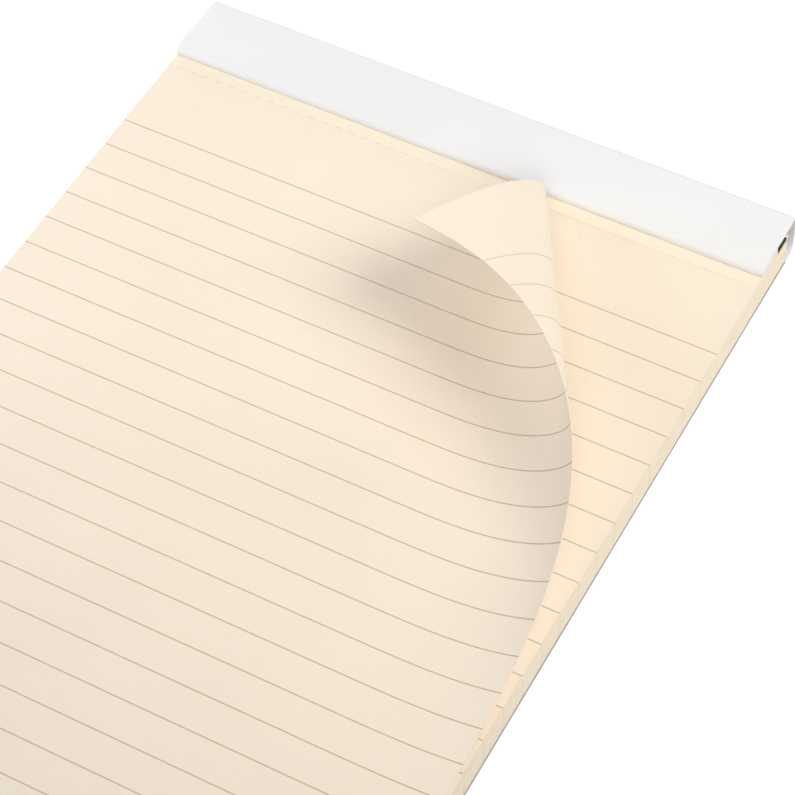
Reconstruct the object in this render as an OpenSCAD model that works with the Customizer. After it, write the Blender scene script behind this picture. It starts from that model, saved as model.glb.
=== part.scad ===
// A top-bound ruled writing pad, lying flat, with its top sheet partly torn off and curling over.
// X runs across the pad, Y towards the bound head, Z up. Origin: middle of the underside.

/* [Pad] */
// Width of the pad across its head
pad_w = 127; // [115:1:150]
// Length of the pad, foot to the outside of the headband
pad_l = 203.2; // [190:0.2:230]
// Height of the writing surface above the table
page_z = 8.5; // [6:0.1:14]
// Thickness of one sheet of paper
sheet_t = 0.12; // [0.1:0.01:0.2]
// Thickness of the chipboard backing
board_t = 0.6; // [0.6:0.05:1.2]

/* [Perforation] */
// Distance from the outside of the headband to the tear-off perforation
perf_from_head = 18.7; // [18:0.1:22]
// Distance from one perforation slit to the next
perf_pitch = 3; // [2:0.1:5]
// Length of one slit
slit_l = 1.5; // [0.8:0.1:1.8]
// Width of one slit
slit_w = 0.14; // [0.1:0.02:0.3]
// Depth of the slits in the sheet below the lifted one
slit_deep = 0.12; // [0.1:0.02:0.4]

/* [Lifted sheet] */
// Where the tear ends, measured to the right of the middle
tear_x = 6.3; // [0:0.1:14]
// Width of the open tear at its closed end
tear_gap = 0.3; // [0.2:0.05:0.6]
// Slant of the first bend line from the pad's long direction, in degrees
curl_tilt = 13.2; // [10:0.1:14]
// Distance from the end of the tear to the point where all bend lines meet
curl_apex = 39; // [34:1:44]
// Angle over which the bend lines fan out
curl_fan = 51.4; // [48:0.1:56]
// Angle through which the sheet bends in all
curl_turn = 182; // [120:1:184]
// Share of the fan at which the sheet bends most sharply
curl_peak = 0.35; // [0.32:0.01:0.5]

/* [Headband] */
// Depth of the band's top panel, from its front edge to the outside of the spine
band_d = 16; // [15:0.1:17]
// Height of the band's top face above the writing surface
band_rise = 1.9; // [1.6:0.1:3]
// Thickness of the folded card
card_t = 0.4; // [0.3:0.05:0.6]
// Thickness of the card in the top panel behind the hem
panel_t = 0.45; // [0.4:0.05:0.8]
// Depth of the glued hem under the front of the top panel
hem_d = 7.2; // [5:0.1:8]
// Rounding along the front edge
front_r = 0.6; // [0.2:0.05:0.9]
// Rounding where the top panel turns into the spine
spine_top_r = 1.4; // [1:0.1:2]
// Rounding where the spine turns under the board
spine_foot_r = 3; // [2:0.1:3.4]
// Loose room between the head of the sheets and the spine's inner face
spine_room = 3.4; // [3:0.1:4.5]

/* [Staples] */
// Number of staples
staple_n = 3; // [2:1:4]
// Length of a staple's crown
crown_l = 12; // [8:0.5:16]
// Diameter of the wire
wire_d = 0.5; // [0.4:0.05:0.55]
// Length of each bent-in leg end
clinch_l = 4; // [2:0.5:5]
// Room around the wire in the paper, the card and the board
wire_fit = 0.03; // [0.02:0.01:0.06]

/* [Hidden] */
$fn = 48;
eps = 0.05;

half_w = pad_w / 2;
head_out = pad_l / 2;
foot_y = -pad_l / 2;
paper_head = head_out - card_t - spine_room;
perf_y = head_out - perf_from_head;
torn_y = perf_y - tear_gap;
band_front = head_out - band_d;
band_top = page_z + band_rise;
board_z = card_t;
block_z = board_z + board_t;
block_top = page_z - sheet_t;

// Slits stand symmetrically about the middle and stay clear of the long edges
slit_n = floor((pad_w - slit_l) / perf_pitch);
slit_x = [for (i = [0 : slit_n]) (i - slit_n / 2) * perf_pitch];

// Staples stand under the hem, evenly across the head
staple_y = band_front + hem_d / 2;
staple_gap = pad_w / staple_n;
staple_x = [for (i = [0 : staple_n - 1]) (i - (staple_n - 1) / 2) * staple_gap];
leg_x = [for (x = staple_x, side = [-1, 1]) x + side * (crown_l - wire_d) / 2];
crown_z = page_z + wire_d / 2;
clinch_z = board_z + wire_d / 2;

// Fan of bend lines: angles are measured from the direction of the foot, towards the right edge
tilt = min(curl_tilt, atan((half_w - tear_x) / (perf_y - foot_y)) - 1);
apex_x = tear_x - curl_apex * sin(tilt);
apex_y = perf_y + curl_apex * cos(tilt);
foot_corner = atan((half_w - apex_x) / (apex_y - foot_y));
torn_corner = atan((half_w - apex_x) / (apex_y - torn_y));
flat_steps = 6;
bend_steps = 52;
fan = concat(
    [for (i = [0 : flat_steps - 1]) tilt + (foot_corner - tilt) * i / flat_steps],
    [for (i = [0 : bend_steps]) foot_corner + (torn_corner - foot_corner) * i / bend_steps]);
last = len(fan) - 1;

// Share of the whole bend that lies within share x of the fan: gentle, then sharp, then gentle
function bent(x) =
    x <= 0 ? 0 :
    x >= 1 ? 1 :
    x < curl_peak ? x - curl_peak / PI * sin(180 * x / curl_peak) :
    x + (1 - curl_peak) / PI * sin(180 * (x - curl_peak) / (1 - curl_peak));
function bend_at(angle) = curl_turn * bent((angle - tilt) / curl_fan);

// A frame is [along the bend line, across it, out of the sheet]
function tipped(f, a) = [f[0], f[1] * cos(a) + f[2] * sin(a), f[2] * cos(a) - f[1] * sin(a)];
function swung(f, a) = [f[0] * cos(a) + f[1] * sin(a), f[1] * cos(a) - f[0] * sin(a), f[2]];
function next_frame(f, i) =
    let (half = (bend_at(fan[i + 1]) - bend_at(fan[i])) / 2)
    tipped(swung(tipped(f, half), fan[i + 1] - fan[i]), half);
first_frame = [[sin(tilt), -cos(tilt), 0], [cos(tilt), sin(tilt), 0], [0, 0, 1]];
frames = [for (i = 0, f = first_frame; i <= last; f = i < last ? next_frame(f, i) : f, i = i + 1) f];

// Distance along a bend line to the torn edge, and to the foot or the right edge
function torn_reach(a) = (apex_y - torn_y) / cos(a);
function edge_reach(a) = min((half_w - apex_x) / sin(a), (apex_y - foot_y) / cos(a));
function on_sheet(i, reach, over) =
    [apex_x, apex_y, block_top] + reach * frames[i][0] + over * sheet_t * frames[i][2];

module backing_board() {
    color("#8f8a7c")
    difference() {
        translate([-half_w, foot_y, board_z])
            cube([pad_w, paper_head - foot_y, board_t]);
        leg_holes();
        for (x = staple_x, side = [-1, 1])
            translate([x + side * (crown_l - wire_d - clinch_l) / 2, staple_y, board_z])
                cube([clinch_l + wire_d + 2 * wire_fit, wire_d + 2 * wire_fit, 2 * wire_d + 2 * wire_fit],
                     center = true);
    }
}

module sheet_block() {
    color("#fdeedb")
    difference() {
        translate([-half_w, foot_y, block_z])
            cube([pad_w, paper_head - foot_y, block_top - block_z]);
        leg_holes();
        for (x = slit_x)
            slit(x, block_top - slit_deep, slit_deep + eps);
    }
}

module top_sheet() {
    color("#fff1de")
    difference() {
        curled_sheet();
        leg_holes();
        for (x = slit_x)
            if (x + slit_l / 2 < tear_x - slit_l)
                slit(x, block_top - eps, sheet_t + 2 * eps);
    }
}

module staples() {
    color("silver")
    for (x = staple_x)
        translate([x, staple_y, 0]) staple();
}

module headband() {
    color("#f4f4f4")
    difference() {
        rotate([90, 0, 90])
            linear_extrude(height = pad_w, center = true) band_section();
        for (x = staple_x)
            translate([x, staple_y, page_z])
                cube([crown_l + 2 * wire_fit, wire_d + 2 * wire_fit, 2 * wire_d + 2 * wire_fit], center = true);
    }
}

module slit(x, z, deep) {
    translate([x - slit_l / 2, perf_y - slit_w / 2, z])
        cube([slit_l, slit_w, deep]);
}

module leg_holes() {
    for (x = leg_x)
        translate([x, staple_y, 0])
            cylinder(d = wire_d + 2 * wire_fit, h = page_z + 1);
}

// One staple: crown on the paper, two legs, and the leg ends bent in under the board
module staple() {
    reach = (crown_l - wire_d) / 2;
    translate([-reach, 0, crown_z])
        rotate([0, 90, 0]) cylinder(d = wire_d, h = 2 * reach);
    for (side = [-1, 1]) {
        translate([side * reach, 0, clinch_z])
            cylinder(d = wire_d, h = crown_z - clinch_z);
        translate([side * reach, 0, crown_z])
            sphere(d = wire_d);
        translate([side * reach, 0, clinch_z])
            sphere(d = wire_d);
        translate([side * reach, 0, clinch_z])
            rotate([0, -side * 90, 0]) cylinder(d = wire_d, h = clinch_l);
    }
}

// The band in section, drawn with Y to the right and Z up
module band_section() {
    difference() {
        wrap(0, 0, 0);
        wrap(card_t, card_t, panel_t);
    }
    difference() {
        translate([band_front, page_z])
            square([hem_d, band_rise]);
        translate([band_front, band_top - front_r])
            square([front_r, front_r + eps]);
    }
    translate([band_front + front_r, band_top - front_r])
        circle(r = front_r);
}

// The space inside the fold, brought in by its own amount at the foot, the spine and the top
module wrap(foot_in, spine_in, top_in) {
    front = band_front + (top_in > 0 ? -eps : front_r);
    top_r = max(spine_top_r - top_in, 0.3);
    foot_r = spine_foot_r - foot_in;
    top_y = head_out - spine_in - top_r;
    foot_r_y = head_out - spine_in - foot_r;
    top = band_top - top_in;
    translate([front, foot_in])
        square([foot_r_y - front, top - foot_in]);
    translate([foot_r_y - eps, foot_in + foot_r])
        square([foot_r + eps, top - top_r - foot_in - foot_r]);
    translate([foot_r_y - eps, top - top_r - eps])
        square([top_y - foot_r_y + eps, top_r + eps]);
    translate([foot_r_y, foot_in + foot_r])
        circle(r = foot_r);
    translate([top_y, top - top_r])
        circle(r = top_r);
}

// The sheet: flat from its left edge to the first bend line, then a strip between each two bend lines
module curled_sheet() {
    strip_points = [for (i = [0 : last]) each
        let (torn = torn_reach(fan[i]), edge = edge_reach(fan[i]))
        [on_sheet(i, torn, 0), on_sheet(i, torn, 1), on_sheet(i, edge, 0), on_sheet(i, edge, 1)]];
    // Corners of the flat part that no bend line carries, from the left foot round to the end of the tear
    flat = [
        [-half_w, foot_y], [-half_w, paper_head], [tear_x, paper_head],
        [half_w, paper_head], [half_w, perf_y], [tear_x, perf_y]];
    flat_points = [for (p = flat) each [[p[0], p[1], block_top], [p[0], p[1], page_z]]];
    // The last bend line has shrunk to the torn corner, so its two far points are left out
    kept = [for (i = [0 : 4 * last + 1]) strip_points[i]];
    points = concat(kept, flat_points);
    base = len(kept);
    foot_l = base;
    head_l = base + 2;
    head_m = base + 4;
    head_r = base + 6;
    perf_r = base + 8;
    tear = base + 10;
    torn = 0;
    start = 2;
    strips = [for (i = [0 : last - 2]) each strip_faces(4 * i, 4 * i + 4, 4 * i + 2, 4 * i + 6)];
    tip = tip_faces(4 * (last - 1), 4 * last, 4 * (last - 1) + 2);
    flats = [
        [foot_l, start, torn, tear, head_m, head_l],
        [head_l + 1, head_m + 1, tear + 1, torn + 1, start + 1, foot_l + 1],
        [tear, perf_r, head_r, head_m],
        [head_m + 1, head_r + 1, perf_r + 1, tear + 1],
        wall(start, foot_l),
        wall(foot_l, head_l),
        wall(head_l, head_m),
        wall(head_m, head_r),
        wall(head_r, perf_r),
        wall(perf_r, tear),
        wall(tear, torn)];
    polyhedron(points = points, faces = concat(strips, tip, flats), convexity = 6);
}

// Upright face between two corners, each corner's upper point following its lower one
function wall(a, b) = [a, b, b + 1, a + 1];

// Two corners on the torn edge and two on the free edge: under side, upper side and both rims
function strip_faces(ta, tb, ea, eb) = [
    [ta, ea, eb], [ta, eb, tb],
    [ta + 1, eb + 1, ea + 1], [ta + 1, tb + 1, eb + 1],
    [ta, tb, tb + 1], [ta, tb + 1, ta + 1],
    [ea, ea + 1, eb + 1], [ea, eb + 1, eb]];

function tip_faces(ta, corner, ea) = [
    [ta, ea, corner],
    [ta + 1, corner + 1, ea + 1],
    [ta, corner, corner + 1], [ta, corner + 1, ta + 1],
    [ea, ea + 1, corner + 1], [ea, corner + 1, corner]];

backing_board();
sheet_block();
top_sheet();
staples();
headband();
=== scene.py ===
import math
import random

import bpy
import numpy as np
from mathutils import Matrix, Vector


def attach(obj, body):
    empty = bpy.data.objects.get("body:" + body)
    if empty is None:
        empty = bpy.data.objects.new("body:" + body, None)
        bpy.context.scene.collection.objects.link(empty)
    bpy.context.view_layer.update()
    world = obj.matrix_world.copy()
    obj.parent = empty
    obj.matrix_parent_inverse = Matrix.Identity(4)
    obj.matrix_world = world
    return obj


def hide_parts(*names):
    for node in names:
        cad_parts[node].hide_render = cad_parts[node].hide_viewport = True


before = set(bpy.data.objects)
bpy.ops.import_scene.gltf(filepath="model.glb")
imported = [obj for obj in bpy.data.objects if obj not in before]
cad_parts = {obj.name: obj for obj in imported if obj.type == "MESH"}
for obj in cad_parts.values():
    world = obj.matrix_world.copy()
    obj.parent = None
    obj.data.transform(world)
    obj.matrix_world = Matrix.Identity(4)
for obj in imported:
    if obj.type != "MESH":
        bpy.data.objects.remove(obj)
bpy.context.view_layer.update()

MM = 0.001

# Sizes in millimetres, as in the part's source
HALF_W = 63.5
FOOT_Y = -101.6
HEAD_OUT = 101.6
PAPER_HEAD = 97.8
PAGE_Z = 8.5
SHEET_T = 0.12
BLOCK_Z = 1.0
BLOCK_TOP = PAGE_Z - SHEET_T
PERF_Y = 82.9
PERF_PITCH = 3.0
SLIT_L = 1.5
SLIT_N = 41
TEAR_X = 6.3
TEAR_GAP = 0.3
TORN_Y = PERF_Y - TEAR_GAP
BAND_FRONT = 85.6
BAND_TOP = 10.4
HEM_BACK = 92.8
CARD_T = 0.4
SPINE_TOP_R = 1.4
SPINE_FOOT_R = 3.0
STAPLE_Y = 89.2

# Fan of bend lines of the lifted sheet, in degrees and millimetres, as in the part's source
CURL_TILT = 13.2
CURL_APEX = 39.0
CURL_FAN = 51.4
CURL_TURN = 182.0
CURL_PEAK = 0.35
APEX_X = TEAR_X - CURL_APEX * math.sin(math.radians(CURL_TILT))
APEX_Y = PERF_Y + CURL_APEX * math.cos(math.radians(CURL_TILT))

# Steps of the curl, and the room past the torn corner that its fibres take, in degrees and millimetres
CURL_STEPS = 1500
CORNER_ROOM = 0.5
NIB_ROOM = 0.3

# Printed ruling: spacing, width, and the first line of the lifted sheet, its back and the next sheet
RULE_PITCH = 7.14375
RULE_W = 0.26
RULE_FIRST = 65.59
RULE_BACK = 64.2
RULE_SECOND = 65.1
LAST_RULE_IN = 1.0

# Paper detail: slits as fine as they look, torn fibres and the room about them, and the grid's gaps
SLIT_W = 0.09
SECOND_SLIT_IN = 0.16
NIB_REACH = (0.06, 0.24)
NIB_COUNT = 200
STUB_NIB_SHARE = 0.5
TEAR_CLEAR = 0.1
SLIT_CLEAR = 0.05
COLUMN_CLEAR = 0.2
CURL_COLUMN = 0.55
CURL_ROW = 1.7
FLAT_ROW = 8.0
SLIT_COLUMN = SLIT_L + 0.01
GRID_DIGITS = 4
GRID_SLACK = 1e-6

# Leaves of the stack: pairs of sheets that stand a little in, with wavy edges and grooves between
LEAF_LAYERS = 36
LEAF_IN = 0.035
LEAF_IN_MOST = 0.11
LEAF_WAVE = 0.012
LEAF_TURNS = (0.5, 2.5)
WAVE_TURN = 6.283
WAVE_PHASE = 6.28
LEAF_FACE = (0.1, 0.88)
LEAF_GROOVE = 0.03
LONG_POINTS = 26
SHORT_POINTS = 18

# Faint ticks where rules run off the leaves' edges: strength, fade in spacings, drift and room on top
TICK_STRENGTH = 0.22
TICK_NONE, TICK_FULL = 0.055, 0.02
TICK_DRIFT = 1.1
TICK_ROOM = 1.0

# Binding glue on the head margin and a stain of it on the top of the leaves' edges, both dark as painted
# shade for the slot under the band
GLUE_SHADE_BACK = 97.0
GLUE_SHADE_FROM = HEM_BACK + 0.25
GLUE_SHADE_SOFT = 0.1
GLUE_SHADE_DEEP = 0.9
GLUE_SHADE_FADE = 0.18

# Folded band: its rolled front, the ease down to it, the tuck at the page, and the plies inside
FRONT_R = 0.85
FRONT_SINK = 0.3
EASE_DROP = 0.313
EASE_FROM = 4.2
EASE_TO = 1.0
EASE_STEPS = 4
ROLL_FROM = 80
TUCK = ((0.0, 0.3), (0.05, 0.12), (0.26, 0.0))
LOW_FRONT = BAND_FRONT + 0.6
HEM_T = 0.8
HEM_IN = 0.42
HEM_BEVEL = 0.12
PLY_T = 0.32
PLY_GAP = 0.02
LOWER_IN = (0.5, 0.72)
UPPER_IN = (1.9, 3.6)
UPPER_NOSE = 0.14
WRAP_SHORT, UPPER_SHORT, LOWER_SHORT, HEM_SHORT = 0.0, 0.05, 0.08, 0.03
BAND_STATIONS = 44
HARD_ANGLE = 35

# Groove in the hem over the staples' crowns, nearly closed towards the band's ends
GROOVE_HALF = 0.32
GROOVE_DEEP = 0.54
GROOVE_CLOSED = 0.01
GROOVE_END = 52.0

# Colours, in linear light
PAPER = (0.929, 0.829, 0.704)
# The same paper on the flap's back, made lighter as painted light
PAPER_BACK_PAINTED_LIGHT = (0.985, 0.885, 0.760)
# The same paper on the strip before the band, lighter as painted light against the band's shade
PAPER_STUB_PAINTED_LIGHT = (0.957, 0.866, 0.718)
INK_FRONT = (0.578, 0.455, 0.335)
INK_BACK = (0.768, 0.655, 0.524)
INK_THIN = 0.25
# Binding glue, darkened into painted shade for the slot under the band's ends
GLUE_AND_SHADE = (0.058, 0.049, 0.025)
CARD = (0.862, 0.874, 0.900)
CARD_CUT = (0.88, 0.895, 0.925)
BOARD_DARK = (0.27, 0.264, 0.232)
BOARD_LIGHT = (0.40, 0.394, 0.352)
BOARD_SPECK = (0.12, 0.11, 0.085)
BOARD_FIBRE = (0.50, 0.48, 0.42)
WIRE_DARK = (0.50, 0.50, 0.51)
WIRE_LIGHT = (0.66, 0.66, 0.67)
FLOOR_DARK = (0.86, 0.86, 0.86)
FLOOR_LIGHT = (0.88, 0.88, 0.88)
WHITE = (1.0, 1.0, 1.0)

# Usual range of a noise
NOISE_LOW = 0.3
NOISE_HIGH = 0.7

# Camera fitted to the photograph: place in millimetres, turn about the pad, height and roll in degrees
CAMERA_AT = (176.5, -254.1, 418.26)
CAMERA_AZIMUTH = 29.41
CAMERA_ELEVATION = 51.56
CAMERA_ROLL = -1.39
FOCAL_PIXELS = 2899.0
IMAGE_SIDE = 795.0
SENSOR = 36.0
CLIP_NEAR = 0.01
CLIP_FAR = 20.0

# Studio: half the floor's side and its drop in metres, its own light, the world's, and the widest beam
FLOOR_HALF = 3.0
FLOOR_DROP = 0.00002
FLOOR_GLOW = 0.32
WORLD_LEVEL = 0.29
WORLD_TINT = (1.015, 1.0, 1.015)
OPEN_BEAM = 180.0

rng = random.Random(11)


# Helpers for node materials
def new_material(name):
    mat = bpy.data.materials.new(name)
    mat.use_nodes = True
    tree = mat.node_tree
    tree.nodes.clear()
    return mat, tree


def put(tree, kind, inputs=None, **settings):
    """Adds a node, sets its properties, and sets or links its inputs."""
    node = tree.nodes.new(kind)
    for key, value in settings.items():
        setattr(node, key, value)
    for key, value in (inputs or {}).items():
        socket = node.inputs[key]
        if isinstance(value, bpy.types.NodeSocket):
            tree.links.new(value, socket)
        else:
            socket.default_value = value
    return node


def math_node(tree, operation, a, b=0.0, c=0.0):
    return put(tree, "ShaderNodeMath", {0: a, 1: b, 2: c}, operation=operation).outputs[0]


def product(tree, first, *others):
    for value in others:
        first = math_node(tree, "MULTIPLY", first, value)
    return first


def blended(tree, a, b, share):
    """Sum of two values, the first with the given share and the second with the rest."""
    return math_node(tree, "MULTIPLY_ADD", a, share, math_node(tree, "MULTIPLY", b, 1.0 - share))


def noise(tree, at, scale, detail=2.0, rough=0.5, stretch=None):
    """Noise over the given coordinates; it is drawn out along an axis whose stretch is under 1."""
    if stretch:
        at = put(tree, "ShaderNodeMapping", {"Vector": at, "Scale": stretch}).outputs["Vector"]
    node = put(tree, "ShaderNodeTexNoise",
               {"Vector": at, "Scale": scale, "Detail": detail, "Roughness": rough})
    return node.outputs["Fac"]


def remap(tree, value, from_low, from_high, to_low=0.0, to_high=1.0):
    node = put(tree, "ShaderNodeMapRange",
               {"Value": value, "From Min": from_low, "From Max": from_high,
                "To Min": to_low, "To Max": to_high})
    return node.outputs["Result"]


def over_noise(tree, value, low=0.0, high=1.0):
    """Stretches a noise's usual range to the given one."""
    return remap(tree, value, NOISE_LOW, NOISE_HIGH, low, high)


def ramp(tree, place, none_at, full_at):
    """Goes from 0 at one place along an axis to 1 at another, both in millimetres."""
    return remap(tree, place, none_at * MM, full_at * MM)


def mix(tree, factor, a, b):
    return put(tree, "ShaderNodeMix", {0: factor, 6: a, 7: b}, data_type="RGBA").outputs[2]


def shade(color, k=1.0):
    return (color[0] * k, color[1] * k, color[2] * k, 1.0)


def object_coords(tree):
    return put(tree, "ShaderNodeTexCoord").outputs["Object"]


def surface(tree, color, roughness, height, bump, depth, specular, metal=0.0):
    """Principled surface with a bump whose depth is in millimetres."""
    normal = put(tree, "ShaderNodeBump", {"Height": height, "Strength": bump, "Distance": depth * MM})
    shader = put(tree, "ShaderNodeBsdfPrincipled",
                 {"Base Color": color, "Roughness": roughness, "Specular IOR Level": specular,
                  "Metallic": metal, "Normal": normal.outputs["Normal"]})
    put(tree, "ShaderNodeOutputMaterial", {"Surface": shader.outputs[0]})


def seen_directly(tree):
    """1 for rays from the camera, from gloss and through glass, else 0."""
    path = put(tree, "ShaderNodeLightPath").outputs
    seen = math_node(tree, "MAXIMUM", path["Is Camera Ray"], path["Is Glossy Ray"])
    return math_node(tree, "MAXIMUM", seen, path["Is Transmission Ray"])


# Materials
def paper_fibre(tree, at):
    return noise(tree, at, scale=1900.0, detail=4.0, rough=0.62)


def paper_material(name, color):
    """Writing paper: cloudy mottling, fine fibre and sparse flecks."""
    mat, tree = new_material(name)
    at = object_coords(tree)
    cloud = noise(tree, at, scale=38.0)
    fibre = paper_fibre(tree, at)
    fleck = noise(tree, at, scale=640.0, detail=1.0, stretch=(1.0, 0.45, 1.0))
    tone = remap(tree, blended(tree, cloud, fibre, 0.55), 0.32, 0.68)
    base = mix(tree, tone, shade(color, 0.975), shade(color, 1.02))
    base = mix(tree, remap(tree, fleck, 0.70, 0.80, 0.0, 0.35), base, shade(color, 0.93))
    rough = over_noise(tree, fibre, 0.84, 0.96)
    surface(tree, base, rough, fibre, bump=0.12, depth=0.03, specular=0.18)
    return mat


def ink_material(name, color):
    """Printed ruling: the ink lies unevenly on the fibres and lets some paper show."""
    mat, tree = new_material(name)
    at = object_coords(tree)
    uneven = noise(tree, at, scale=2600.0, detail=3.0, rough=0.6, stretch=(0.5, 1.0, 1.0))
    base = mix(tree, over_noise(tree, uneven, INK_THIN, 0.0), shade(color), shade(PAPER))
    surface(tree, base, 0.8, paper_fibre(tree, at), bump=0.10, depth=0.03, specular=0.18)
    return mat


def rule_ticks(tree, y, leaf, soft):
    """Share of ink where a printed line runs off the leaves."""
    drift = math_node(tree, "MULTIPLY_ADD", leaf, TICK_DRIFT * MM, -TICK_DRIFT / 2 * MM)
    along = math_node(tree, "ADD", y, drift)
    half_on = 0.5 - RULE_FIRST / RULE_PITCH
    spacings = math_node(tree, "MULTIPLY_ADD", along, 1.0 / (RULE_PITCH * MM), half_on)
    within = math_node(tree, "FRACT", spacings)
    off = math_node(tree, "ABSOLUTE", math_node(tree, "SUBTRACT", within, 0.5))
    tick = remap(tree, off, TICK_NONE, TICK_FULL)
    below_first = ramp(tree, y, RULE_FIRST + 2 * TICK_ROOM, RULE_FIRST + TICK_ROOM)
    worn = remap(tree, soft, 0.35, 0.65, 0.35, 1.0)
    return product(tree, tick, below_first, worn, TICK_STRENGTH)


def glue_and_shade_stain(tree, y, z):
    """1 on the top of the leaves' edges where glue has run down and painted shade for the slot under the
    band goes, else 0.
    """
    deep = ramp(tree, z, BLOCK_TOP - GLUE_SHADE_DEEP, BLOCK_TOP - GLUE_SHADE_DEEP + GLUE_SHADE_FADE)
    starts = ramp(tree, y, GLUE_SHADE_FROM - GLUE_SHADE_SOFT, GLUE_SHADE_FROM + GLUE_SHADE_SOFT)
    ends = ramp(tree, y, GLUE_SHADE_BACK + GLUE_SHADE_SOFT, GLUE_SHADE_BACK - GLUE_SHADE_SOFT)
    return product(tree, deep, starts, ends)


def leaf_edge_material(name):
    """Cut edges of the stacked sheets, with the ends of the ruling and glue darkened into painted shade at
    the head.
    """
    mat, tree = new_material(name)
    at = object_coords(tree)
    leaf = noise(tree, at, scale=9000.0, rough=0.7, stretch=(0.03, 0.03, 1.0))
    soft = noise(tree, at, scale=1400.0, stretch=(0.25, 0.25, 1.0))
    axes = put(tree, "ShaderNodeSeparateXYZ", {"Vector": at}).outputs
    tone = over_noise(tree, blended(tree, leaf, soft, 0.7))
    base = mix(tree, tone, shade(PAPER, 0.90), shade(PAPER))
    base = mix(tree, rule_ticks(tree, axes["Y"], leaf, soft), base, shade(INK_FRONT))
    base = mix(tree, glue_and_shade_stain(tree, axes["Y"], axes["Z"]), base, shade(GLUE_AND_SHADE))
    rough = over_noise(tree, leaf, 0.86, 0.98)
    surface(tree, base, rough, leaf, bump=0.25, depth=0.04, specular=0.15)
    return mat


def glue_and_shade_material(name):
    """Dried binding glue on the head margin, under the band, dark as painted shade for the slot at the
    band's ends.
    """
    mat, tree = new_material(name)
    at = object_coords(tree)
    run = noise(tree, at, scale=700.0, detail=3.0, rough=0.6, stretch=(0.4, 1.0, 1.0))
    base = mix(tree, over_noise(tree, run), shade(GLUE_AND_SHADE, 0.6), shade(GLUE_AND_SHADE, 1.45))
    surface(tree, base, over_noise(tree, run, 0.45, 0.7), run, bump=0.3, depth=0.05, specular=0.3)
    return mat


def card_material(name):
    """Coated white card: nearly smooth, with a faint calendered mottle."""
    mat, tree = new_material(name)
    at = object_coords(tree)
    cloud = noise(tree, at, scale=55.0)
    grain = noise(tree, at, scale=1500.0, detail=4.0, rough=0.6, stretch=(0.45, 1.0, 1.0))
    tone = remap(tree, blended(tree, cloud, grain, 0.5), 0.32, 0.68)
    base = mix(tree, tone, shade(CARD, 0.985), shade(CARD, 1.012))
    surface(tree, base, over_noise(tree, grain, 0.42, 0.56), grain, bump=0.07, depth=0.03, specular=0.3)
    return mat


def card_edge_material(name):
    """Cut end of the card: fibrous plies."""
    mat, tree = new_material(name)
    at = object_coords(tree)
    ply = noise(tree, at, scale=5200.0, detail=3.0, rough=0.65, stretch=(1.0, 0.12, 1.0))
    base = mix(tree, over_noise(tree, ply), shade(CARD_CUT, 0.86), shade(CARD_CUT, 1.02))
    surface(tree, base, 0.9, ply, bump=0.3, depth=0.04, specular=0.15)
    return mat


def chipboard_material(name):
    """Grey chipboard: pressed waste fibre with light and dark flecks."""
    mat, tree = new_material(name)
    at = object_coords(tree)
    cloud = noise(tree, at, scale=70.0, detail=3.0)
    fibre = noise(tree, at, scale=1500.0, detail=5.0, rough=0.65, stretch=(1.0, 0.35, 1.0))
    speck = noise(tree, at, scale=1100.0)
    tone = over_noise(tree, blended(tree, cloud, fibre, 0.4))
    base = mix(tree, tone, shade(BOARD_DARK), shade(BOARD_LIGHT))
    base = mix(tree, remap(tree, speck, 0.68, 0.76, 0.0, 0.7), base, shade(BOARD_SPECK))
    base = mix(tree, remap(tree, speck, 0.33, 0.25, 0.0, 0.6), base, shade(BOARD_FIBRE))
    rough = over_noise(tree, fibre, 0.84, 0.97)
    surface(tree, base, rough, fibre, bump=0.35, depth=0.06, specular=0.2)
    return mat


def wire_material(name):
    """Drawn steel wire with fine lengthwise marks."""
    mat, tree = new_material(name)
    at = object_coords(tree)
    drawn = noise(tree, at, scale=8000.0, detail=3.0, rough=0.6, stretch=(0.06, 1.0, 1.0))
    base = mix(tree, over_noise(tree, drawn), shade(WIRE_DARK), shade(WIRE_LIGHT))
    rough = over_noise(tree, drawn, 0.28, 0.42)
    surface(tree, base, rough, drawn, bump=0.15, depth=0.01, specular=0.5, metal=1.0)
    return mat


paper = paper_material("ivory_paper", PAPER)
paper_back_painted_light = paper_material("ivory_paper_back_painted_light", PAPER_BACK_PAINTED_LIGHT)
paper_stub_painted_light = paper_material("ivory_paper_stub_painted_light", PAPER_STUB_PAINTED_LIGHT)
ink = ink_material("ruling_ink", INK_FRONT)
ink_back = ink_material("ruling_ink_back", INK_BACK)
leaf_edge = leaf_edge_material("leaf_edges")
glue_and_shade = glue_and_shade_material("binding_glue_and_painted_shade")
card = card_material("white_card")
card_edge = card_edge_material("card_cut_edge")


# The curl of the lifted sheet
def smooth_share(x):
    """Share of the whole bend within share x of the fan: gentle, then sharp, then gentle."""
    x = np.clip(x, 0.0, 1.0)
    rise = x - CURL_PEAK / np.pi * np.sin(np.pi * x / CURL_PEAK)
    fall = x + (1 - CURL_PEAK) / np.pi * np.sin(np.pi * (x - CURL_PEAK) / (1 - CURL_PEAK))
    return np.where(x < CURL_PEAK, rise, fall)


def turned(a, b, angle):
    """Two directions at right angles, turned in their own plane from the first towards the second."""
    return a * math.cos(angle) + b * math.sin(angle), b * math.cos(angle) - a * math.sin(angle)


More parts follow.
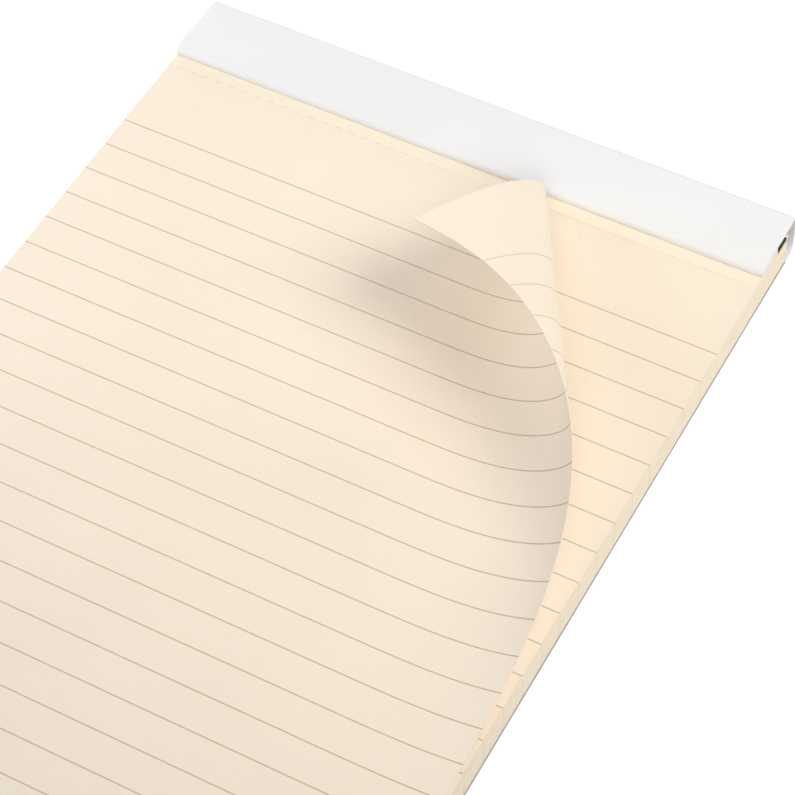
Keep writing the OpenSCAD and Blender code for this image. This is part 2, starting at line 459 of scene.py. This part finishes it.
def curl_frames():
    """Directions along the bend lines and out of the sheet, over the angle from the foot's direction."""
    torn_corner = math.degrees(math.atan2(HALF_W - APEX_X, APEX_Y - TORN_Y - NIB_ROOM))
    angles = np.linspace(CURL_TILT, torn_corner + CORNER_ROOM, CURL_STEPS)
    bend = np.radians(CURL_TURN * smooth_share((angles - CURL_TILT) / CURL_FAN))
    tilt = math.radians(CURL_TILT)
    line = np.array([math.sin(tilt), -math.cos(tilt), 0.0])
    across = np.array([math.cos(tilt), math.sin(tilt), 0.0])
    normal = np.array([0.0, 0.0, 1.0])
    along, out = [line], [normal]
    swing = math.radians(angles[1] - angles[0])
    for half in np.diff(bend) / 2:
        across, normal = turned(across, normal, half)
        line, across = turned(line, across, swing)
        across, normal = turned(across, normal, half)
        along.append(line)
        out.append(normal)
    return angles, np.array(along), np.array(out)


CURL = curl_frames()


def lifted(x, y, over, row_y):
    """Where a point of the flat sheet goes: on the curl past the first bend line, else flat on the pad."""
    angle = np.degrees(np.arctan2(x - APEX_X, APEX_Y - y))
    reach = np.hypot(x - APEX_X, APEX_Y - y)
    angles, along, out = CURL
    bent = (angle > CURL_TILT) & (row_y < TORN_Y + TEAR_GAP / 2)
    flat = np.stack([x, y, np.full_like(x, BLOCK_TOP + over * SHEET_T)], -1)
    a = np.clip(angle, angles[0], angles[-1])
    line = np.stack([np.interp(a, angles, along[:, k]) for k in range(3)], -1)
    normal = np.stack([np.interp(a, angles, out[:, k]) for k in range(3)], -1)
    curl = np.array([APEX_X, APEX_Y, BLOCK_TOP]) + reach[..., None] * line + over * SHEET_T * normal
    return np.where(bent[..., None], curl, flat)


# Meshes
def add_to_scene(obj):
    bpy.context.scene.collection.objects.link(obj)


def make_object(name, verts, faces, mats, indices, smooth, sharp=()):
    """A mesh object from points in millimetres; sharp holds vertex pairs of hard edges."""
    verts = np.asarray(verts, float)
    used = np.zeros(len(verts), bool)
    for face in faces:
        used[list(face)] = True
    where = np.cumsum(used) - 1
    mesh = bpy.data.meshes.new(name)
    mesh.from_pydata((verts[used] * MM).tolist(), [], [[int(where[v]) for v in face] for face in faces])
    for mat in mats:
        mesh.materials.append(mat)
    mesh.polygons.foreach_set("material_index", np.asarray(indices, np.int32))
    mesh.polygons.foreach_set("use_smooth", np.asarray(smooth, bool))
    if len(sharp):
        hard = {(min(where[a], where[b]), max(where[a], where[b])) for a, b in sharp}
        flags = [tuple(sorted(e.vertices)) in hard for e in mesh.edges]
        mesh.attributes.new("sharp_edge", "BOOLEAN", "EDGE").data.foreach_set("value", flags)
    mesh.validate()
    mesh.update()
    piece = bpy.data.objects.new(name, mesh)
    add_to_scene(piece)
    return piece


def plate(xs, ys, place, hole, front, back, rim, nudge=None):
    """Sheet of paper over a grid: its points, faces, material numbers, smooth flags and hard edges.

    hole(x, y) is true where the sheet is cut away, and front, back and rim give material numbers,
    all by the middle of a cell. nudge moves the grid's points in the flat sheet.
    """
    nx, ny = len(xs), len(ys)
    gx, gy = np.meshgrid(xs, ys)
    px, py = (gx, gy) if nudge is None else nudge(gx, gy)
    verts = np.concatenate([place(px, py, over, gy).reshape(-1, 3) for over in (0, 1)])
    mx, my = (xs[1:] + xs[:-1]) / 2, (ys[1:] + ys[:-1]) / 2
    solid = np.pad([[not hole(x, y) for x in mx] for y in my], 1)
    top = nx * ny
    faces, mats, smooth, sharp = [], [], [], []
    for j, y in enumerate(my):
        front_mat, back_mat, rim_mat = front(y), back(y), rim(y)
        for i in range(nx - 1):
            if not solid[j + 1, i + 1]:
                continue
            a = j * nx + i
            b, c, d = a + 1, a + nx + 1, a + nx
            faces.extend(((a + top, b + top, c + top, d + top), (a, d, c, b)))
            mats.extend((front_mat, back_mat))
            smooth.extend((True, True))
            sides = ((solid[j, i + 1], a, b), (solid[j + 2, i + 1], c, d),
                     (solid[j + 1, i], d, a), (solid[j + 1, i + 2], b, c))
            for joined, p, q in sides:
                if not joined:
                    faces.append((p, q, q + top, p + top))
                    mats.append(rim_mat)
                    smooth.append(False)
                    sharp.extend(((p, q), (p + top, q + top)))
    return verts, faces, mats, smooth, sharp


def loft(rings, base):
    """Side faces between each ring of points and the next, and the caps at both ends."""
    count = len(rings[0])
    starts = [base + r * count for r in range(len(rings))]
    sides = [(s + k, s + (k + 1) % count, s + (k + 1) % count + count, s + k + count)
             for s in starts[:-1] for k in range(count)]
    caps = [tuple(range(base + count - 1, base - 1, -1)), tuple(range(starts[-1], starts[-1] + count))]
    return sides, caps


def rule_lines(first):
    """Middles of the printed lines, from the first one down to the foot."""
    count = int((first - FOOT_Y - LAST_RULE_IN) / RULE_PITCH) + 1
    return np.array([first - RULE_PITCH * k for k in range(count)])


def on_rule(lines):
    """A test of whether a row lies on one of the lines."""
    return lambda y: bool(np.min(np.abs(lines - y)) < RULE_W / 2)


SLIT_XS = np.array([(i - SLIT_N / 2) * PERF_PITCH for i in range(SLIT_N + 1)])
FRONT_LINES = rule_lines(RULE_FIRST)
BACK_LINES = rule_lines(RULE_BACK)
SECOND_LINES = rule_lines(RULE_SECOND)


def in_slit(x, y, last_x):
    """True inside a slit of the perforation that ends before last_x."""
    if abs(y - PERF_Y) > SLIT_W / 2:
        return False
    nearest = SLIT_XS[np.argmin(np.abs(SLIT_XS - x))]
    return abs(x - nearest) < SLIT_L / 2 and nearest + SLIT_L / 2 < last_x


def filled(values, step):
    """Sorted marks with more between them, so that no gap is wider than step."""
    marks = sorted(set(round(float(v), GRID_DIGITS) for v in values))
    out = [marks[0]]
    for a, b in zip(marks, marks[1:]):
        n = max(1, math.ceil((b - a) / step - GRID_SLACK))
        out.extend(a + (b - a) * k / n for k in range(1, n + 1))
    return np.array(out)


def rows(line_sets, extra, step):
    """Grid rows with both edges of each printed line and of the slits among them."""
    marks = [FOOT_Y, PAPER_HEAD, PERF_Y - SLIT_W / 2, PERF_Y + SLIT_W / 2, *extra]
    for lines in line_sets:
        marks.extend(lines - RULE_W / 2)
        marks.extend(lines + RULE_W / 2)
    return filled(marks, step)


def flat_columns():
    """Grid columns with both ends of each slit among them."""
    return filled([-HALF_W, HALF_W, *(SLIT_XS - SLIT_L / 2), *(SLIT_XS + SLIT_L / 2)], SLIT_COLUMN)


def curl_columns():
    """The same columns left of the tear's end, and closer ones right of it."""
    flat = flat_columns()
    right = filled([TEAR_X, *flat[flat > TEAR_X + COLUMN_CLEAR]], CURL_COLUMN)
    return np.concatenate([flat[flat < TEAR_X - COLUMN_CLEAR], right])


def torn_fibres(xs, ys):
    """A move of the grid that draws fibres out between the slits, on both sides of the tear."""
    nibs = [rng.uniform(*NIB_REACH) for _ in range(2 * NIB_COUNT)]
    torn_row = int(np.argmin(np.abs(ys - TORN_Y)))
    stub_row = int(np.argmin(np.abs(ys - PERF_Y)))

    def nudge(gx, gy):
        py = gy.copy()
        for i, x in enumerate(xs):
            to_slit = np.min(np.abs(SLIT_XS - x)) - SLIT_L / 2
            if x > TEAR_X + TEAR_CLEAR and to_slit > SLIT_CLEAR:
                py[torn_row, i] += nibs[i]
                py[stub_row, i] -= STUB_NIB_SHARE * nibs[i + NIB_COUNT]
        return gx, py

    return nudge


def make_lifted_sheet():
    """The torn top sheet: flat on the left, curled over on the right, ruled on both sides."""
    xs = curl_columns()
    ys = rows((FRONT_LINES, BACK_LINES), (TORN_Y, PERF_Y, BAND_FRONT, HEM_BACK, GLUE_SHADE_BACK), CURL_ROW)
    front_rule, back_rule = on_rule(FRONT_LINES), on_rule(BACK_LINES)
    plain, ruled, plain_back, ruled_back, glued_and_shaded, stub = range(6)

    def hole(x, y):
        torn = x > TEAR_X and TORN_Y < y < PERF_Y
        return torn or in_slit(x, y, TEAR_X - SLIT_L)

    def front(y):
        # The head margin under the band: glue, dark as painted shade for the slot at the band's ends
        if HEM_BACK < y < GLUE_SHADE_BACK:
            return glued_and_shaded
        # The strip before the band takes the lighter paper, which is painted light
        if y > PERF_Y:
            return stub
        return ruled if front_rule(y) else plain

    # The flap's back takes the lighter paper, which is painted light
    def back(y):
        return ruled_back if back_rule(y) else plain_back

    def rim(y):
        return glued_and_shaded if HEM_BACK < y < GLUE_SHADE_BACK else plain

    made = plate(xs, ys, lifted, hole, front, back, rim, torn_fibres(xs, ys))
    verts, faces, indices, smooth, sharp = made
    mats = (paper, ink, paper_back_painted_light, ink_back, glue_and_shade, paper_stub_painted_light)
    piece = make_object("lifted_sheet", verts, faces, mats, indices, smooth, sharp)
    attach(piece, "root")
    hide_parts("top_sheet")


def leaf_sides():
    """How far one leaf pair stands in, by its side and the share along that side."""
    inset = [min(LEAF_IN_MOST, abs(rng.gauss(0.0, LEAF_IN))) for _ in range(4)]
    wave = [(rng.uniform(*LEAF_TURNS), rng.uniform(0, WAVE_PHASE)) for _ in range(4)]

    def inward(side, share):
        turns, phase = wave[side]
        return inset[side] + LEAF_WAVE * (1 + math.sin(WAVE_TURN * turns * share + phase))

    return inward


def leaf_ring(inward, z, more):
    """Points around the stack at one height: right side, head, left side and foot, each moved in."""
    along = np.linspace(FOOT_Y, PAPER_HEAD, LONG_POINTS)
    across = np.linspace(-HALF_W, HALF_W, SHORT_POINTS)
    long_share = np.linspace(0.0, 1.0, LONG_POINTS)
    short_share = np.linspace(0.0, 1.0, SHORT_POINTS)
    points = [(HALF_W - inward(0, s) - more, y) for s, y in zip(long_share, along[:-1])]
    points += [(x, PAPER_HEAD - inward(1, s) - more) for s, x in zip(short_share, across[:0:-1])]
    points += [(-HALF_W + inward(2, s) + more, y) for s, y in zip(long_share, along[:0:-1])]
    points += [(x, FOOT_Y + inward(3, s) + more) for s, x in zip(short_share, across[:-1])]
    x_low, x_high = -HALF_W + inward(2, 0.5) + more, HALF_W - inward(0, 0.5) - more
    y_low, y_high = FOOT_Y + inward(3, 0.5) + more, PAPER_HEAD - inward(1, 0.5) - more
    return [(min(max(x, x_low), x_high) if abs(x) == HALF_W else x,
             min(max(y, y_low), y_high) if y in (FOOT_Y, PAPER_HEAD) else y, z) for x, y in points]


def leaf_rings():
    """Rings of the stack's sides: each leaf pair stands a little in, with a groove above it."""
    top = BLOCK_TOP - SHEET_T
    thick = (top - BLOCK_Z) / LEAF_LAYERS
    rings = []
    for layer in range(LEAF_LAYERS):
        inward = leaf_sides()
        z = BLOCK_Z + layer * thick
        rings.extend(leaf_ring(inward, z + share * thick, 0.0) for share in LEAF_FACE)
        if layer < LEAF_LAYERS - 1:
            rings.append(leaf_ring(inward, z + thick, LEAF_GROOVE))
    rings[0] = [(x, y, BLOCK_Z) for x, y, z in rings[0]]
    rings[-1] = [(x, y, top) for x, y, z in rings[-1]]
    return rings


def make_block():
    """The pages: the ruled second sheet on top of a stack of leaves."""
    slit_y = PERF_Y + SECOND_SLIT_IN
    slit_rows = (slit_y - SLIT_W / 2, slit_y + SLIT_W / 2)
    ys = rows((SECOND_LINES,), (*slit_rows, BAND_FRONT, HEM_BACK), FLAT_ROW)
    front_rule = on_rule(SECOND_LINES)
    plain, ruled, cut, stub = range(4)

    def place(x, y, over, row_y):
        return np.stack([x, y, np.full_like(x, BLOCK_TOP - (1 - over) * SHEET_T)], -1)

    def hole(x, y):
        return in_slit(x, y - SECOND_SLIT_IN, 2 * HALF_W)

    def front(y):
        # The strip before the band takes the lighter paper, which is painted light
        if y > PERF_Y:
            return stub
        return ruled if front_rule(y) else plain

    verts, faces, indices, smooth, sharp = plate(
        flat_columns(), ys, place, hole, front, lambda y: plain, lambda y: cut)
    rings = leaf_rings()
    sides, caps = loft(rings, len(verts))
    verts = np.concatenate([verts, np.array(rings).reshape(-1, 3)])
    faces += sides + caps
    indices += [cut] * len(sides) + [plain] * len(caps)
    smooth += [False] * (len(sides) + len(caps))
    mats = (paper, ink, leaf_edge, paper_stub_painted_light)
    piece = make_object("ruled_block", verts, faces, mats, indices, smooth, sharp)
    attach(piece, "root")
    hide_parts("sheet_block")


def arc(centre_y, centre_z, radius, start, stop, steps):
    """Points on a round stretch of a section, between two angles in degrees."""
    angles = np.radians(np.linspace(start, stop, steps + 1))
    return [(centre_y + radius * math.cos(a), centre_z + radius * math.sin(a)) for a in angles]


def wrap_section():
    """The folded card in section, as a closed outline of (y, z): bottom, spine, top and rolled front."""
    roll = (BAND_FRONT + FRONT_R, BAND_TOP - FRONT_SINK - FRONT_R)
    spine_top = (HEAD_OUT - SPINE_TOP_R, BAND_TOP - SPINE_TOP_R)
    spine_foot = (HEAD_OUT - SPINE_FOOT_R, SPINE_FOOT_R)
    eased = [k / EASE_STEPS for k in range(EASE_STEPS)]
    ease = [(BAND_FRONT + EASE_FROM + (EASE_TO - EASE_FROM) * k, BAND_TOP - EASE_DROP * k ** 2)
            for k in eased]
    outer = [(LOW_FRONT, 0.0)]
    outer += arc(*spine_foot, SPINE_FOOT_R, -90, 0, steps=12)
    outer += arc(*spine_top, SPINE_TOP_R, 0, 90, steps=10)
    outer += ease + arc(*roll, FRONT_R, ROLL_FROM, 180, steps=8)
    outer += [(BAND_FRONT + into, PAGE_Z + up) for into, up in TUCK]
    inner = [(BAND_FRONT + CARD_T, PAGE_Z)]
    inner += arc(*roll, FRONT_R - CARD_T, 180, ROLL_FROM, steps=5)
    inner += [(y, z - CARD_T) for y, z in reversed(ease)]
    inner += arc(*spine_top, SPINE_TOP_R - CARD_T, 90, 0, steps=8)
    inner += arc(*spine_foot, SPINE_FOOT_R - CARD_T, 0, -90, steps=10)
    inner += [(LOW_FRONT, CARD_T)]
    return outer + inner


def lower_ply():
    """Turned-in card on top of the hem, in section."""
    low = PAGE_Z + HEM_T + PLY_GAP
    high = low + PLY_T
    low_front, high_front = BAND_FRONT + LOWER_IN[0], BAND_FRONT + LOWER_IN[1]
    return [(low_front, low), (HEM_BACK, low), (HEM_BACK, high), (high_front, high)]


def upper_ply():
    """Turned-in card under the top panel, in section, with a tapered nose."""
    low = PAGE_Z + HEM_T + PLY_T + 2 * PLY_GAP
    high = low + PLY_T
    nose, full = BAND_FRONT + UPPER_IN[0], BAND_FRONT + UPPER_IN[1]
    return [(nose, low), (HEM_BACK, low), (HEM_BACK, high), (full, high), (nose, low + UPPER_NOSE)]


def hem_section(x):
    """Innermost ply in section, with the groove that stops short of the band's ends."""
    roof = PAGE_Z + (GROOVE_DEEP if abs(x) < GROOVE_END else GROOVE_CLOSED)
    near, far = STAPLE_Y - GROOVE_HALF, STAPLE_Y + GROOVE_HALF
    front, top = BAND_FRONT + HEM_IN, PAGE_Z + HEM_T
    return [(front, PAGE_Z), (near, PAGE_Z), (near, roof), (far, roof), (far, PAGE_Z),
            (HEM_BACK - HEM_BEVEL, PAGE_Z), (HEM_BACK, PAGE_Z + HEM_BEVEL), (HEM_BACK, top), (front, top)]


def make_band():
    """The headband: one folded card with its turned-in plies, each a closed solid along the head."""
    wrap, upper, lower = wrap_section(), upper_ply(), lower_ply()
    plies = ((lambda x: wrap, WRAP_SHORT), (lambda x: upper, UPPER_SHORT),
             (lambda x: lower, LOWER_SHORT), (hem_section, HEM_SHORT))
    coated, cut = range(2)
    verts, faces, indices, smooth = [], [], [], []
    for section, short in plies:
        xs = np.linspace(-HALF_W + short, HALF_W - short, BAND_STATIONS)
        rings = [[(x, y, z) for y, z in section(x)] for x in xs]
        sides, caps = loft(rings, len(verts))
        for ring in rings:
            verts.extend(ring)
        faces += sides + caps
        indices += [coated] * len(sides) + [cut] * len(caps)
        smooth += [True] * len(sides) + [False] * len(caps)
    piece = make_object("folded_headband", verts, faces, (card, card_edge), indices, smooth)
    piece.data.set_sharp_from_angle(angle=math.radians(HARD_ANGLE))
    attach(piece, "root")
    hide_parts("headband")


def dress_node(node, material):
    """Gives a material to a CAD node that keeps its own shape."""
    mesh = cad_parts[node].data
    mesh.materials.clear()
    mesh.materials.append(material)


# Camera and studio
def make_camera():
    az, el, roll = (math.radians(v) for v in (CAMERA_AZIMUTH, CAMERA_ELEVATION, CAMERA_ROLL))
    forward = Vector((-math.sin(az) * math.cos(el), math.cos(az) * math.cos(el), -math.sin(el)))
    level = Vector((math.cos(az), math.sin(az), 0.0))
    right, up = turned(level, level.cross(forward), roll)
    data = bpy.data.cameras.new("camera")
    data.sensor_width = SENSOR
    data.lens = FOCAL_PIXELS * SENSOR / IMAGE_SIDE
    data.clip_start, data.clip_end = CLIP_NEAR, CLIP_FAR
    camera = bpy.data.objects.new("camera", data)
    turn = Matrix((right, up, -forward)).transposed().to_4x4()
    camera.matrix_world = Matrix.Translation(Vector(CAMERA_AT) * MM) @ turn
    add_to_scene(camera)
    bpy.context.scene.camera = camera


def make_light(name, at, aim, size, level, beam=OPEN_BEAM, tint=WHITE):
    """Soft round lamp; level is about the light it gives a face turned to it, whatever its beam."""
    offset = Vector(at) - Vector(aim)
    half = math.radians(beam / 2)
    gain = math.tan(half) / (math.tan(half) - half) if beam < OPEN_BEAM else 1.0
    data = bpy.data.lights.new(name, "AREA")
    data.shape = "DISK"
    data.size = size
    data.color = tint
    data.spread = math.radians(beam)
    data.energy = level * math.pi ** 2 * offset.length_squared / gain
    lamp = bpy.data.objects.new(name, data)
    lamp.location = at
    lamp.rotation_mode = "QUATERNION"
    lamp.rotation_quaternion = (-offset).to_track_quat("-Z", "Y")
    add_to_scene(lamp)


def make_floor():
    """White floor that takes the pad's shadow and reads as white to the camera."""
    mat, tree = new_material("floor_white")
    tone = noise(tree, object_coords(tree), scale=4.0)
    base = mix(tree, tone, shade(FLOOR_DARK), shade(FLOOR_LIGHT))
    diffuse = put(tree, "ShaderNodeBsdfDiffuse", {"Color": base})
    glow = put(tree, "ShaderNodeEmission",
               {"Color": shade(WHITE), "Strength": product(tree, seen_directly(tree), FLOOR_GLOW)})
    both = put(tree, "ShaderNodeAddShader", {0: diffuse.outputs[0], 1: glow.outputs[0]})
    put(tree, "ShaderNodeOutputMaterial", {"Surface": both.outputs[0]})
    corners = [(FLOOR_HALF * x, FLOOR_HALF * y, 0) for x, y in ((-1, -1), (1, -1), (1, 1), (-1, 1))]
    mesh = bpy.data.meshes.new("floor")
    mesh.from_pydata(corners, [], [(0, 1, 2, 3)])
    mesh.materials.append(mat)
    floor = bpy.data.objects.new("floor", mesh)
    floor.location = (0, 0, -FLOOR_DROP)
    add_to_scene(floor)


def make_world():
    """Even light from all around, seen as white."""
    world = bpy.data.worlds.new("studio")
    world.use_nodes = True
    tree = world.node_tree
    tree.nodes.clear()
    seen = seen_directly(tree)
    color = mix(tree, seen, shade(WORLD_TINT), shade(WHITE))
    strength = remap(tree, seen, 0.0, 1.0, WORLD_LEVEL, 1.0)
    back = put(tree, "ShaderNodeBackground", {"Color": color, "Strength": strength})
    put(tree, "ShaderNodeOutputWorld", {"Surface": back.outputs[0]})
    bpy.context.scene.world = world


make_lifted_sheet()
make_block()
make_band()
dress_node("backing_board", chipboard_material("grey_chipboard"))
dress_node("staples", wire_material("steel_wire"))

make_camera()
make_floor()
make_world()
make_light("right_key", at=(0.259, 0.085, 0.341), aim=(0.0, 0.085, 0.01), size=0.24, level=0.592,
           beam=90.0, tint=(1.042, 1.0, 0.885))
make_light("left_fill", at=(-0.22, 0.0, 0.14), aim=(0.0, 0.04, 0.01), size=0.14, level=0.284,
           tint=(0.99, 1.0, 1.03))
make_light("left_low", at=(-0.27, 0.271, 0.083), aim=(0.0, 0.06, 0.01), size=0.10, level=0.197,
           tint=(0.95, 1.0, 1.02))
make_light("back_fill", at=(0.12, 0.42, 0.22), aim=(0.0, 0.04, 0.01), size=0.24, level=0.1,
           tint=(1.03, 1.0, 0.93))
make_light("front_fill", at=(0.227, -0.401, 0.460), aim=(0.0, 0.085, 0.01), size=0.22, level=0.275,
           beam=90.0)

bpy.context.scene.view_settings.view_transform = "Standard"
